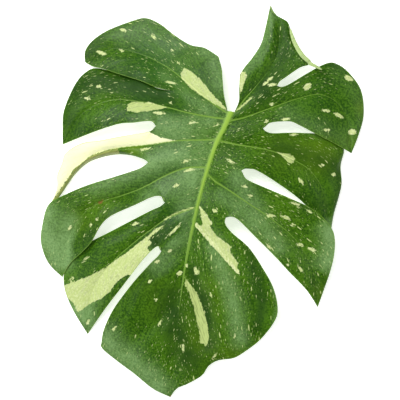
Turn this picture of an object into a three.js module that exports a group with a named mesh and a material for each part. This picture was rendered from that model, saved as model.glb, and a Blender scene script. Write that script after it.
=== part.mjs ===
// A monstera leaf, cut from its plant where the stalk meets the blade, lying with its upper face up.
// Millimetres, +Z up. The midrib runs along Y, from the stalk end (+Y) down to the leaf's tip (-Y).
// While it is drawn, (0, 0) is the stalk end of the midrib. At the end the leaf is moved so that the
// origin is on the surface it lies on, in the middle of its outline.
//
// The blade is one sheet that splits into lobes. A lobe has a side vein down its middle and two halves,
// one on the stalk side of the vein and one on the tip side. Two neighbouring lobes are joined from the
// midrib out to the foot of the cleft between them, and from there each has its own free margin.

import * as THREE from 'three';
import { mergeVertices } from 'three/addons/utils/BufferGeometryUtils.js';

const BLADE_THICKNESS = 0.6;
const LEAF_TIP_Y = -263;

// The midrib: a fleshy rib, flat above and keeled below, that thins out towards the tip.
const MIDRIB_PATH = [[0, 0], [-3, -15], [-7, -30], [-10, -54], [-12, -85], [-12, -127], [-10, -167],
  [-6, -204], [-3, -233], [0, LEAF_TIP_Y]];
const MIDRIB_HALF_WIDTH = 3.4;
const MIDRIB_HALF_WIDTH_AT_TIP = 0.4;
const MIDRIB_TAPER_CURVE = 1.6;
const MIDRIB_DEPTH = 5.5;
const MIDRIB_CROWN = 0.5;
const VEIN_DEPTH = 2.6;

// The leaf lies like a shallow dome on the tips of its lobes.
const DOME_TOP = [-8, -85];
const DOME_DROP_ACROSS = 0.00062;
const DOME_DROP_ALONG = 0.00060;
const PILLOW = 3.2;
const DROOP_CURVE = 1.6;

// How much of an arch the blade makes from a vein to its margin: half of one where lobes are joined, so
// that it meets its neighbour level, and nearly a whole one where the margin is free.
const JOINED_ARCH = 0.5;
const FREE_ARCH = 0.85;

// How finely the sheet is divided, along and across each half lobe.
const STEPS_TO_CLEFT = 4;
const STEPS_TO_LOBE_TIP = 9;
const ACROSS = [0, 0.12, 0.4, 0.7, 1];
const MIDRIB_STATIONS = 400;
const STATIONS_PER_CENTRE_STEP = 3;

const LEFT = -1;
const RIGHT = 1;
const STALK_SIDE = 1;
const TIP_SIDE = -1;

// Joins between neighbouring lobes: where each leaves the midrib, and the foot of the cleft beyond it.
const LEFT_JOINS = [
  { leaves: -5, foot: [-56, 7] },
  { leaves: -18, foot: [-63, -27] },
  { leaves: -42, foot: [-63, -60] },
  { leaves: -72, foot: [-41, -92] },
  { leaves: -112, foot: [-35, -135] },
];
const RIGHT_JOINS = [
  { leaves: -5, foot: [36, 31] },
  { leaves: -18, foot: [31, -9] },
  { leaves: -44, foot: [20, -50] },
  { leaves: -76, foot: [15, -94] },
];

// The deep notch at the stalk end is bordered by the first lobe on each side.
const LEFT_NOTCH = [[-4, 2], [-9, 13], [-13, 26], [-16, 36], [-21, 46]];
const RIGHT_NOTCH = [[4, 2], [5, 11], [3, 21], [1, 34]];

// The lobes, from the stalk end to the leaf's tip. rootY is where the vein leaves the midrib, cleftAt is
// how far along the vein the clefts begin, and lift raises (or lowers) the middle of each free margin.
// stalkSide and tipSide are the free margins, from the cleft's foot to the lobe's tip.
const LEFT_LOBES = [
  {
    rootY: -2, cleftAt: 0.36, lift: [2, 4], droop: 1,
    vein: [[-27, 8], [-45, 18], [-66, 28], [-90, 34], [-116, 34], [-138, 17]],
    stalkSide: [[-35, 51], [-48, 51], [-64, 57], [-78, 64], [-92, 67], [-104, 62], [-123, 50],
      [-135, 38], [-140, 27]],
    tipSide: [[-69, 7], [-85, 10], [-104, 12], [-119, 14], [-130, 14.5]],
  },
  {
    rootY: -8, cleftAt: 0.38, lift: [-4, 2], droop: 4,
    vein: [[-23, -9], [-41, -9], [-58, -8], [-79, -8], [-107, -12], [-130, -29], [-142, -60]],
    stalkSide: [[-70, 7], [-84, 12], [-104, 13], [-125, 14], [-135, 9], [-143, -5], [-147.5, -30],
      [-145, -47]],
    tipSide: [[-66, -24], [-71, -24], [-83, -28], [-94, -31], [-104, -36], [-116, -43], [-130, -52]],
  },
  {
    rootY: -28, cleftAt: 0.36, lift: [2, -9], droop: 6,
    vein: [[-27, -32], [-43, -36], [-62, -43], [-84, -50], [-100, -56], [-114, -64], [-127, -79],
      [-134, -96], [-142, -115]],
    stalkSide: [[-65, -31], [-70, -34], [-88, -41], [-110, -50], [-122, -54], [-131, -60], [-138, -68],
      [-139, -77], [-141, -88], [-139, -98], [-140, -107]],
    tipSide: [[-68, -58], [-80, -57], [-93, -59], [-107, -65], [-117, -72], [-125, -83], [-130, -94],
      [-136, -108]],
  },
  {
    rootY: -54, cleftAt: 0.26, lift: [-1, 5], droop: 5,
    vein: [[-29, -58], [-45, -68], [-63, -83], [-80, -94], [-95, -102], [-109, -115], [-118, -135],
      [-121, -156], [-118, -177]],
    stalkSide: [[-66, -64], [-71, -68], [-92, -80], [-112, -91], [-128, -102], [-143, -115],
      [-145, -135], [-143, -151], [-133, -167]],
    tipSide: [[-42, -88], [-47, -87], [-54, -90], [-70, -102], [-86, -114], [-93, -124.5], [-98, -140],
      [-106, -153], [-113, -163]],
  },
  {
    rootY: -91, cleftAt: 0.27, lift: [-6, 2], droop: 6,
    vein: [[-27, -99], [-38, -107], [-48, -118], [-60, -132], [-77, -156], [-89, -187], [-85, -223]],
    stalkSide: [[-44, -96], [-51, -101], [-67, -114], [-84, -128], [-101, -142], [-113, -157],
      [-117, -173], [-113, -189], [-101, -206]],
    tipSide: [[-37, -131], [-42, -134], [-50, -147], [-62, -172], [-74, -197]],
  },
];
const RIGHT_LOBES = [
  {
    rootY: -2, cleftAt: 0.36, lift: [-5, 3], droop: -2,
    vein: [[9, 12], [20, 32], [28, 50], [30, 66], [26, 84], [15, 102]],
    stalkSide: [[4, 42], [9, 52], [14, 66], [15, 82]],
    tipSide: [[37, 35], [41, 39.5], [52, 51], [60, 56.5], [52, 62], [44.5, 70], [39, 79], [36.5, 85],
      [33.5, 90], [28.5, 92], [22.5, 94], [17.5, 97]],
  },
  {
    rootY: -8, cleftAt: 0.38, lift: [-2, 4], droop: 2,
    vein: [[13, -3], [34, 10], [55, 23], [76, 32], [95, 26], [108, 8], [114, -14]],
    stalkSide: [[40, 31], [46, 35], [61, 49], [74, 60], [83, 63], [96, 58], [111, 44], [118, 23],
      [117, 3]],
    tipSide: [[32, -6], [36, -3], [44, 0], [54, 2], [62, 0.5], [81, -4.5], [98, -9]],
  },
  {
    rootY: -28, cleftAt: 0.34, lift: [-4, -3], droop: 7,
    vein: [[13, -28], [40, -27], [60, -30], [82, -38], [99, -58], [111, -92]],
    stalkSide: [[34, -11], [40, -11.5], [52, -8.5], [66, -5.5], [84, -3], [99, -6], [107, -12],
      [107, -27], [111, -42], [111, -56], [110, -72]],
    tipSide: [[22, -48], [27, -47], [33, -47], [51, -53], [76, -64], [95, -77]],
  },
  {
    rootY: -60, cleftAt: 0.24, lift: [4, 2], droop: 3,
    vein: [[1, -65], [12, -69], [34, -78], [56, -87], [81, -101], [101, -123], [113, -156]],
    stalkSide: [[22, -53], [27, -57], [46, -61], [71, -66], [88, -70], [103, -78], [113, -88],
      [117, -104], [117, -122], [115, -140]],
    tipSide: [[20, -92], [27, -94], [44, -105], [64, -118], [81, -130], [100, -143]],
  },
];

// The end lobe has the midrib itself down its middle, so each side of it is a single half lobe.
const END_LOBE = {
  left: {
    cleftAt: 0.2, lift: 2, droop: 0,
    margin: [[-37, -140], [-43, -149], [-54.5, -169], [-66, -194], [-71, -214], [-71, -226],
      [-69.5, -232], [-54.5, -240], [-37.5, -248], [-17.5, -258.5]],
  },
  right: {
    cleftAt: 0.14, lift: 2, droop: 0,
    margin: [[15, -98], [18, -102], [25, -107], [41, -116], [56.5, -131], [70, -147], [77.5, -164],
      [77, -176], [68, -195], [56, -209], [48, -216], [35, -221], [27.5, -228], [24, -237],
      [13, -247.5], [4, -254]],
  },
};

const spline = (points) => new THREE.SplineCurve(points.map(([x, y]) => new THREE.Vector2(x, y)));
const lerp = THREE.MathUtils.lerp;

// The midrib's centre line and its two sides, at a place given by y.
const midribCurve = spline(MIDRIB_PATH);
const midribPoints = midribCurve.getPoints(MIDRIB_STATIONS);

function midribX(y) {
  const after = midribPoints.findIndex((point) => point.y <= y);
  if (after <= 0) {
    return midribPoints[after === 0 ? 0 : MIDRIB_STATIONS].x;
  }
  const [p, q] = [midribPoints[after - 1], midribPoints[after]];
  return lerp(p.x, q.x, (p.y - y) / (p.y - q.y));
}

const midribTaper = (y) => 1 - y / LEAF_TIP_Y;
const midribHalfWidth = (y) => lerp(MIDRIB_HALF_WIDTH_AT_TIP, MIDRIB_HALF_WIDTH,
  midribTaper(y) ** MIDRIB_TAPER_CURVE);
const midribSide = (side, y) => new THREE.Vector2(midribX(y) + side * midribHalfWidth(y), y);

function dome(x, y) {
  const [topX, topY] = DOME_TOP;
  return -DOME_DROP_ACROSS * (x - topX) ** 2 - DOME_DROP_ALONG * (y - topY) ** 2;
}

// The sheet: corners with a height for the upper face and a depth of tissue below it.
const corners = [];
const triangles = [];
const cornerAt = new Map();

function corner(x, y, z, depth) {
  const key = `${x.toFixed(2)},${y.toFixed(2)},${z.toFixed(2)}`;
  if (!cornerAt.has(key)) {
    cornerAt.set(key, corners.length);
    corners.push({ x, y, z, depth });
  }
  return cornerAt.get(key);
}

function triangle(a, b, c) {
  if (a !== b && b !== c && c !== a) {
    triangles.push([a, b, c]);
  }
}

// One half of a lobe. vein and margin are rows of points from the midrib to the lobe's tip.
function halfLobe({ side, face, veinRow, marginRow, firstRow, lift, droop, veinDepth }) {
  const lastRow = STEPS_TO_CLEFT + STEPS_TO_LOBE_TIP;
  const grid = veinRow.map((veinPoint, row) => {
    const joined = Math.min(row / STEPS_TO_CLEFT, 1);
    const free = Math.max(row - STEPS_TO_CLEFT, 0) / STEPS_TO_LOBE_TIP;
    return ACROSS.map((across, column) => {
      const place = row === 0 ? firstRow[column] : veinPoint.clone().lerp(marginRow[row], across);
      const pillow = PILLOW * Math.sin(Math.PI / 2 * joined) * (1 - free ** 3)
        * Math.sin(Math.PI * across * lerp(JOINED_ARCH, FREE_ARCH, Math.min(2 * free, 1)));
      const marginLift = lift * across ** 2 * Math.sin(Math.PI * free ** 0.7);
      const z = dome(place.x, place.y) + pillow + marginLift - droop * free ** DROOP_CURVE;
      const onVein = column === 0 && row > 0;
      const depth = onVein ? lerp(veinDepth, BLADE_THICKNESS, row / lastRow) : BLADE_THICKNESS;
      return corner(place.x, place.y, z, depth);
    });
  });
  const anticlockwise = side * face > 0;
  for (let row = 0; row < lastRow; row++) {
    for (let column = 0; column < ACROSS.length - 1; column++) {
      const a = grid[row][column];
      const b = grid[row + 1][column];
      const c = grid[row + 1][column + 1];
      const d = grid[row][column + 1];
      if (anticlockwise) {
        triangle(a, b, c);
        triangle(a, c, d);
      } else {
        triangle(a, c, b);
        triangle(a, d, c);
      }
    }
  }
}

const row = (curve, from, to, steps) => Array.from({ length: steps + 1 },
  (_, i) => curve.getPointAt(lerp(from, to, i / steps)));

function splitRow(curve, at) {
  return [...row(curve, 0, at, STEPS_TO_CLEFT), ...row(curve, at, 1, STEPS_TO_LOBE_TIP).slice(1)];
}

// The margin's row: along the join (or the notch) to the cleft's foot, then along the free margin.
function marginRow(joinPoints, freePoints, lobeTip) {
  const join = spline(joinPoints);
  const free = spline([joinPoints.at(-1), ...freePoints, lobeTip]);
  return [...row(join, 0, 1, STEPS_TO_CLEFT), ...row(free, 0, 1, STEPS_TO_LOBE_TIP).slice(1)];
}

const sideStations = { [LEFT]: [], [RIGHT]: [] };

function stationsBetween(side, fromY, toY) {
  const ys = ACROSS.map((across) => lerp(fromY, toY, across));
  sideStations[side].push(...ys);
  return ys.map((y) => midribSide(side, y));
}

function joinLine(side, join) {
  const start = midribSide(side, join.leaves);
  return [[start.x, start.y], join.foot];
}

function sideLobes(side, lobes, joins, notch) {
  lobes.forEach((lobe, i) => {
    const root = midribSide(side, lobe.rootY);
    const vein = spline([[root.x, root.y], ...lobe.vein]);
    const lobeTip = lobe.vein.at(-1);
    const veinRow = splitRow(vein, lobe.cleftAt);
    const start = midribSide(side, 0);
    const before = i === 0 ? [[start.x, start.y], ...notch] : joinLine(side, joins[i - 1]);
    const beforeY = i === 0 ? 0 : joins[i - 1].leaves;
    const after = joinLine(side, joins[i]);
    const shared = { side, veinRow, droop: lobe.droop, veinDepth: VEIN_DEPTH };
    halfLobe({ ...shared, face: STALK_SIDE, marginRow: marginRow(before, lobe.stalkSide, lobeTip),
      firstRow: stationsBetween(side, lobe.rootY, beforeY), lift: lobe.lift[0] });
    halfLobe({ ...shared, face: TIP_SIDE, marginRow: marginRow(after, lobe.tipSide, lobeTip),
      firstRow: stationsBetween(side, lobe.rootY, joins[i].leaves), lift: lobe.lift[1] });
  });
}

function endLobe(side, { cleftAt, lift, droop, margin }, join) {
  const total = STEPS_TO_CLEFT + STEPS_TO_LOBE_TIP;
  const veinYs = Array.from({ length: total + 1 }, (_, i) => {
    const along = i <= STEPS_TO_CLEFT
      ? cleftAt * i / STEPS_TO_CLEFT
      : lerp(cleftAt, 1, (i - STEPS_TO_CLEFT) / STEPS_TO_LOBE_TIP);
    return lerp(join.leaves, LEAF_TIP_Y, along);
  });
  sideStations[side].push(...veinYs);
  const tip = [midribX(LEAF_TIP_Y), LEAF_TIP_Y];
  const veinRow = veinYs.map((y) => midribSide(side, y));
  veinRow[total].set(...tip);
  halfLobe({ side, face: STALK_SIDE, veinRow, marginRow: marginRow(joinLine(side, join), margin, tip),
    firstRow: ACROSS.map(() => midribSide(side, join.leaves)), lift, droop, veinDepth: BLADE_THICKNESS });
}

// The midrib's strip, between the stations that the lobes use on its left and right side.
function midribStrip() {
  const tidy = (ys) => [...new Set(ys.map((y) => Number(y.toFixed(4))))].sort((a, b) => b - a);
  const [leftYs, rightYs] = [tidy(sideStations[LEFT]), tidy(sideStations[RIGHT])];
  const at = (side, y) => {
    const isTip = Math.abs(y - LEAF_TIP_Y) < 0.001;
    const place = side === 0 || isTip ? new THREE.Vector2(midribX(y), y) : midribSide(side, y);
    const crown = side === 0 ? MIDRIB_CROWN * midribTaper(y) : 0;
    const depth = side === 0 ? lerp(BLADE_THICKNESS, MIDRIB_DEPTH, midribTaper(y)) : BLADE_THICKNESS;
    return corner(place.x, place.y, dome(place.x, place.y) + crown, depth);
  };
  const centreYs = tidy(leftYs.filter((y, i) => i % STATIONS_PER_CENTRE_STEP === 0).concat(0, LEAF_TIP_Y));
  for (const side of [LEFT, RIGHT]) {
    const outerYs = side === LEFT ? leftYs : rightYs;
    let [i, j] = [0, 0];
    while (i < outerYs.length - 1 || j < centreYs.length - 1) {
      const stepOuter = j === centreYs.length - 1
        || (i < outerYs.length - 1 && outerYs[i + 1] >= centreYs[j + 1]);
      const [outer, centre] = [at(side, outerYs[i]), at(0, centreYs[j])];
      const next = stepOuter ? at(side, outerYs[++i]) : at(0, centreYs[++j]);
      if (side === LEFT) {
        triangle(outer, next, centre);
      } else {
        triangle(outer, centre, next);
      }
    }
  }
}

// The closed solid: the upper face, the same face lowered by the depth of tissue, and the edge between.
function solidFromSheet() {
  const edges = new Map();
  for (const [a, b, c] of triangles) {
    for (const [from, to] of [[a, b], [b, c], [c, a]]) {
      edges.set(`${from},${to}`, [from, to]);
    }
  }
  const count = corners.length;
  const index = [];
  for (const [a, b, c] of triangles) {
    index.push(a, b, c, a + count, c + count, b + count);
  }
  for (const [from, to] of edges.values()) {
    if (!edges.has(`${to},${from}`)) {
      index.push(from, from + count, to + count, from, to + count, to);
    }
  }
  const upper = corners.flatMap(({ x, y, z }) => [x, y, z]);
  const lower = corners.flatMap(({ x, y, z, depth }) => [x, y, z - depth]);
  const geometry = new THREE.BufferGeometry();
  geometry.setAttribute('position', new THREE.Float32BufferAttribute([...upper, ...lower], 3));
  geometry.setIndex(index);
  return mergeVertices(geometry);
}

sideLobes(LEFT, LEFT_LOBES, LEFT_JOINS, LEFT_NOTCH);
sideLobes(RIGHT, RIGHT_LOBES, RIGHT_JOINS, RIGHT_NOTCH);
endLobe(LEFT, END_LOBE.left, LEFT_JOINS.at(-1));
endLobe(RIGHT, END_LOBE.right, RIGHT_JOINS.at(-1));
midribStrip();

const geometry = solidFromSheet();
geometry.computeBoundingBox();
const { min, max } = geometry.boundingBox;
geometry.translate(-(min.x + max.x) / 2, -(min.y + max.y) / 2, -min.z);
geometry.computeVertexNormals();

const leaf = new THREE.Mesh(geometry, new THREE.MeshStandardMaterial({
  color: 0x4a7a2c,
  roughness: 0.4,
  metalness: 0,
}));
leaf.name = 'leaf';

const group = new THREE.Group();
group.add(leaf);
export default group;
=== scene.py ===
import math

import bmesh
import bpy
import numpy as np
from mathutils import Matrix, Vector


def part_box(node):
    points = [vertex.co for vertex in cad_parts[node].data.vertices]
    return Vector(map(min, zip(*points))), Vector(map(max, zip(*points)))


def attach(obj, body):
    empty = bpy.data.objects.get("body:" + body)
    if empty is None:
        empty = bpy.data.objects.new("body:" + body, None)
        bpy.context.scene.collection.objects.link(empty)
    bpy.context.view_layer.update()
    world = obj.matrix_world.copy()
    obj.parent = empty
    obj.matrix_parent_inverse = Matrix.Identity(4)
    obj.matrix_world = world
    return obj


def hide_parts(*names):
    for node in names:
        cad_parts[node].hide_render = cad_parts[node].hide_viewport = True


# A monstera leaf, cut from its plant and lying with its upper face up, on the tips of its lobes.
# It grew as one piece: a thin waxy blade with its ribs. Shapes are drawn in millimetres with the
# stalk end of the midrib at (0, 0) and the leaf's tip at -Y, then placed in the frame in metres.

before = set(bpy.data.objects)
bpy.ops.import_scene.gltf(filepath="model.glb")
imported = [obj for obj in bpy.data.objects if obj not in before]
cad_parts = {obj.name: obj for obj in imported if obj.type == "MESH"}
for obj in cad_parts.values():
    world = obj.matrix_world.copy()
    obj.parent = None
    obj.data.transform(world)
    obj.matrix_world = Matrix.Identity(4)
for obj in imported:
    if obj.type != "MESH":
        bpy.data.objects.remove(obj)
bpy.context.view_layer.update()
leaf_low, leaf_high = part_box("leaf")


# ------------------------------------------------------------
# The blade: one sheet of leathery living tissue, about half a millimetre thick. It splits into
# lobes, each with a side vein down its middle, and between the midrib and the foot of a cleft
# two neighbouring lobes are joined. It puffs up a little between its veins.
# ------------------------------------------------------------

MM = 0.001
BLADE_THICKNESS = 0.6
TIP_Y = -263
MIDRIB_PATH = [(0, 0), (-3, -15), (-7, -30), (-10, -54), (-12, -85), (-12, -127), (-10, -167),
               (-6, -204), (-3, -233), (0, TIP_Y)]
MIDRIB_HALF_WIDTH = 3.4
MIDRIB_HALF_WIDTH_AT_TIP = 0.4
MIDRIB_TAPER_CURVE = 1.6
MIDRIB_DEPTH = 5.5
MIDRIB_DEPTH_AT_TIP = 0.3
MIDRIB_CROWN = 0.5
MIDRIB_GREENS = dict(from_y=-110, over=80, by=0.95)
VEIN_HALF_WIDTH = 0.85
VEIN_DEPTH = 2.4
KEEL_HALF_WIDTH = 1.5
# How fast a side vein's pale line narrows: at 1 it would just reach the lobe's tip.
VEIN_FADE = 1.45
FAINT_VEIN_FADE = 2.8
# The end lobe's own side veins fade out this far from the midrib.
END_VEIN_HALF_WIDTH = 0.7
END_VEIN_DEPTH = 1.4
END_VEIN_REACH = 60

DOME_TOP = (-8, -85)
DOME_DROP_ACROSS = 0.00062
DOME_DROP_ALONG = 0.00060
PILLOW = 3.2
# The arch from a vein to the margin: half of one where lobes are joined, more of one where free.
JOINED_ARCH = 0.5
ARCH_GAINED = 0.35
LIFT_CURVE = 0.7
DROOP_CURVE = 1.6
# Height and length of the ripples along the fine veins and of the waves in a free margin.
FINE_RIPPLE = (0.08, 17)
BROAD_RIPPLE = (0.20, 47)
MARGIN_WAVE = (0.9, 31)
# Depth and half width of the furrow along a side vein, and of the fold over an end-lobe vein.
FURROW = (0.45, 1.6)
END_FOLD = (3.4, 9)
# How far from a vein, across a half and from the midrib the three rise to their full size.
RIPPLE_RISE, WAVE_RISE, FOLD_RISE = 6, 12, 14
# The fine veins run this far along a side vein for each step beside it.
FINE_VEIN_LEAN = 2.3
# Stands for a distance so large that no margin or rib is near.
FAR = 60.0
# How far apart the lobes lie on the grain map, so that no two share their flecks.
MAP_GAP = 400.0

LEFT, RIGHT = -1, 1

# Where neighbouring lobes part: the y at which their join leaves the midrib, and the cleft's foot.
JOINS = {
    LEFT: [(-5, (-56, 7)), (-18, (-63, -27)), (-42, (-63, -60)), (-72, (-41, -92)), (-112, (-35, -135))],
    RIGHT: [(-5, (36, 31)), (-18, (31, -9)), (-44, (20, -50)), (-76, (15, -94))],
}
# The notch at the stalk end, bordered by the first lobe on each side.
NOTCH = {
    LEFT: [(-4, 2), (-9, 13), (-13, 26), (-16, 36), (-21, 46)],
    RIGHT: [(4, 2), (5, 11), (3, 21), (1, 34)],
}

# root_y: where the vein leaves the midrib. cleft_at: how far along the vein its clefts begin.
# stalk_side and tip_side: the free margins from the cleft's foot to the lobe's tip. lift: how far
# the middle of each free margin stands up. droop: how far the lobe's tip hangs.
LOBES = {
    "left_1": dict(
        side=LEFT, root_y=-2, cleft_at=0.36, lift=(2, 4), droop=1,
        vein=[(-27, 8), (-45, 18), (-66, 28), (-90, 34), (-116, 34), (-138, 17)],
        stalk_side=[(-35, 51), (-48, 51), (-64, 57), (-78, 64), (-92, 67), (-104, 62), (-123, 50),
                    (-135, 38), (-140, 27)],
        tip_side=[(-69, 7), (-85, 10), (-104, 12), (-119, 14), (-130, 14.5)]),
    "left_2": dict(
        side=LEFT, root_y=-8, cleft_at=0.38, lift=(-4, 2), droop=4,
        vein=[(-23, -9), (-41, -9), (-58, -8), (-79, -8), (-107, -12), (-130, -29), (-142, -60)],
        stalk_side=[(-70, 7), (-84, 12), (-104, 13), (-125, 14), (-135, 9), (-143, -5), (-147.5, -30),
                    (-145, -47)],
        tip_side=[(-66, -24), (-71, -24), (-83, -28), (-94, -31), (-104, -36), (-116, -43),
                  (-130, -52)]),
    "left_3": dict(
        side=LEFT, root_y=-28, cleft_at=0.36, lift=(2, -9), droop=6,
        vein=[(-27, -32), (-43, -36), (-62, -43), (-84, -50), (-100, -56), (-114, -64), (-127, -79),
              (-134, -96), (-142, -115)],
        stalk_side=[(-65, -31), (-70, -34), (-88, -41), (-110, -50), (-122, -54), (-131, -60),
                    (-138, -68), (-139, -77), (-141, -88), (-139, -98), (-140, -107)],
        tip_side=[(-68, -58), (-80, -57), (-93, -59), (-107, -65), (-117, -72), (-125, -83),
                  (-130, -94), (-136, -108)]),
    "left_4": dict(
        side=LEFT, root_y=-54, cleft_at=0.26, lift=(-1, 5), droop=5,
        vein=[(-29, -58), (-45, -68), (-63, -83), (-80, -94), (-95, -102), (-109, -115),
              (-118, -135), (-121, -156), (-118, -177)],
        stalk_side=[(-66, -64), (-71, -68), (-92, -80), (-112, -91), (-128, -102), (-143, -115),
                    (-145, -135), (-143, -151), (-133, -167)],
        tip_side=[(-42, -88), (-47, -87), (-54, -90), (-70, -102), (-86, -114), (-93, -124.5),
                  (-98, -140), (-106, -153), (-113, -163)]),
    "left_5": dict(
        side=LEFT, root_y=-91, cleft_at=0.27, lift=(-6, 2), droop=6,
        vein=[(-27, -99), (-38, -107), (-48, -118), (-60, -132), (-77, -156), (-89, -187), (-85, -223)],
        stalk_side=[(-44, -96), (-51, -101), (-67, -114), (-84, -128), (-101, -142), (-113, -157),
                    (-117, -173), (-113, -189), (-101, -206)],
        tip_side=[(-37, -131), (-42, -134), (-50, -147), (-62, -172), (-74, -197)]),
    "right_1": dict(
        side=RIGHT, root_y=-2, cleft_at=0.36, lift=(-5, 3), droop=-2,
        vein=[(9, 12), (20, 32), (28, 50), (30, 66), (26, 84), (15, 102)],
        stalk_side=[(4, 42), (9, 52), (14, 66), (15, 82)],
        tip_side=[(37, 35), (41, 39.5), (52, 51), (60, 56.5), (52, 62), (44.5, 70), (39, 79), (36.5, 85),
                  (33.5, 90), (28.5, 92), (22.5, 94), (17.5, 97)]),
    "right_2": dict(
        side=RIGHT, root_y=-8, cleft_at=0.38, lift=(-2, 4), droop=2,
        vein=[(13, -3), (34, 10), (55, 23), (76, 32), (95, 26), (108, 8), (114, -14)],
        stalk_side=[(40, 31), (46, 35), (61, 49), (74, 60), (83, 63), (96, 58), (111, 44), (118, 23),
                    (117, 3)],
        tip_side=[(32, -6), (36, -3), (44, 0), (54, 2), (62, 0.5), (81, -4.5), (98, -9)]),
    "right_3": dict(
        side=RIGHT, root_y=-28, cleft_at=0.34, lift=(-4, -3), droop=7,
        vein=[(13, -28), (40, -27), (60, -30), (82, -38), (99, -58), (111, -92)],
        stalk_side=[(34, -11), (40, -11.5), (52, -8.5), (66, -5.5), (84, -3), (99, -6), (107, -12),
                    (107, -27), (111, -42), (111, -56), (110, -72)],
        tip_side=[(22, -48), (27, -47), (33, -47), (51, -53), (76, -64), (95, -77)]),
    "right_4": dict(
        side=RIGHT, root_y=-60, cleft_at=0.24, lift=(4, 2), droop=3,
        vein=[(1, -65), (12, -69), (34, -78), (56, -87), (81, -101), (101, -123), (113, -156)],
        stalk_side=[(22, -53), (27, -57), (46, -61), (71, -66), (88, -70), (103, -78), (113, -88),
                    (117, -104), (117, -122), (115, -140)],
        tip_side=[(20, -92), (27, -94), (44, -105), (64, -118), (81, -130), (100, -143)]),
}
# The end lobe has the midrib down its middle, so each side of it is a single half.
END_HALVES = {
    "end_left": dict(
        side=LEFT, cleft_at=0.2, lift=2, droop=0,
        veins=[[(-12, -131), (-30, -142), (-42, -154), (-58, -174)],
               [(-8, -178), (-22, -192), (-38, -212), (-46, -228)]],
        margin=[(-37, -140), (-43, -149), (-54.5, -169), (-66, -194), (-71, -214), (-71, -226),
                (-69.5, -232), (-54.5, -240), (-37.5, -248), (-17.5, -258.5)]),
    "end_right": dict(
        side=RIGHT, cleft_at=0.14, lift=2, droop=0,
        veins=[[(-12, -106), (3, -114), (14, -120), (24, -129), (35, -138), (50, -152), (60, -172)],
               [(-10, -153), (0, -166), (10, -186), (20, -208)]],
        margin=[(15, -98), (18, -102), (25, -107), (41, -116), (56.5, -131), (70, -147), (77.5, -164),
                (77, -176), (68, -195), (56, -209), (48, -216), (35, -221), (27.5, -228), (24, -237),
                (13, -247.5), (4, -254)]),
}

# How finely the sheet is divided, along and across each half lobe, and across the midrib.
ROWS_TO_CLEFT = 20
ROWS_TO_TIP = 60
LOBE_COLUMNS = 24
END_COLUMNS = 46
RIB_COLUMNS = 3
MIDRIB_ROWS = 180
COLUMN_CROWDING = 0.3


def spline(points, steps=24):
    """A smooth line through the points, as closely spaced places."""
    p = np.asarray(points, float)
    p = np.vstack([p[:1], p, p[-1:]])
    t = np.linspace(0, 1, steps, endpoint=False)[:, None]
    spans = []
    for a, b, c, d in zip(p[:-3], p[1:-2], p[2:-1], p[3:]):
        v0, v1 = (c - a) / 2, (d - b) / 2
        cubic, square = 2 * b - 2 * c + v0 + v1, -3 * b + 3 * c - 2 * v0 - v1
        spans.append(cubic * t**3 + square * t**2 + v0 * t + b)
    return np.vstack(spans + [p[-1:]])


def run_along(line):
    """How far along a line each of its places is."""
    return np.concatenate([[0], np.cumsum(np.linalg.norm(np.diff(line, axis=0), axis=1))])


def along(line, fractions):
    """Places on a line at fractions of its length."""
    run = run_along(line)
    wanted = np.asarray(fractions) * run[-1]
    return np.column_stack([np.interp(wanted, run, line[:, k]) for k in (0, 1)])


midrib_line = spline(MIDRIB_PATH, 60)


def midrib_x(y):
    return np.interp(-np.asarray(y, float), -midrib_line[:, 1], midrib_line[:, 0])


def midrib_taper(y):
    return 1 - np.asarray(y, float) / TIP_Y


def midrib_half_width(y):
    taper = np.clip(midrib_taper(y), 0, 1)**MIDRIB_TAPER_CURVE
    return MIDRIB_HALF_WIDTH_AT_TIP + (MIDRIB_HALF_WIDTH - MIDRIB_HALF_WIDTH_AT_TIP) * taper


def midrib_fade(y):
    """The midrib turns as green as the blade towards the leaf's tip."""
    past = MIDRIB_GREENS["from_y"] - np.asarray(y, float)
    return MIDRIB_GREENS["by"] * np.clip(past / MIDRIB_GREENS["over"], 0, 1)


def midrib_side(side, y):
    return np.column_stack([midrib_x(y) + side * midrib_half_width(y), y])


def dome(x, y):
    return -DOME_DROP_ACROSS * (x - DOME_TOP[0])**2 - DOME_DROP_ALONG * (y - DOME_TOP[1])**2


def line_distance(x, y, points):
    """How far each place is from a line through the points."""
    line = spline(points, 8)
    return np.min([np.hypot(x - px, y - py) for px, py in line], axis=0)


def across_steps(columns):
    """Column places across a half lobe, closer together beside the vein."""
    even = np.linspace(0, 1, columns + 1)
    return (1 - COLUMN_CROWDING) * even + COLUMN_CROWDING * even**2


def end_lobe_lean(run):
    """In the end lobe the fine veins lean more and more, the nearer they are to the leaf's tip."""
    return np.minimum(0.8 + 0.9 * run / 70, 1.8)


def swell(height_and_length, run, start=0.0):
    """A wave of one height and length, at places along a run."""
    height, length = height_and_length
    return height * np.sin(2 * np.pi * run / length + start)


def bell(distance, half_width):
    return np.exp(-(distance / half_width)**2)


rows_in = np.linspace(0, 1, ROWS_TO_CLEFT + 1)
rows_out = np.linspace(0, 1, ROWS_TO_TIP + 1)[1:]
joined = np.concatenate([rows_in, np.ones(ROWS_TO_TIP)])[:, None]
free = np.concatenate([np.zeros(ROWS_TO_CLEFT + 1), rows_out])[:, None]

blade = dict(points=[], faces=[], uv=[], rib=[], margin=[], depth=[], lobe=[])
lobe_names = list(LOBES) + list(END_HALVES) + ["rolled_margin"]
halves = {}
side_stations = {LEFT: [], RIGHT: []}


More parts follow.
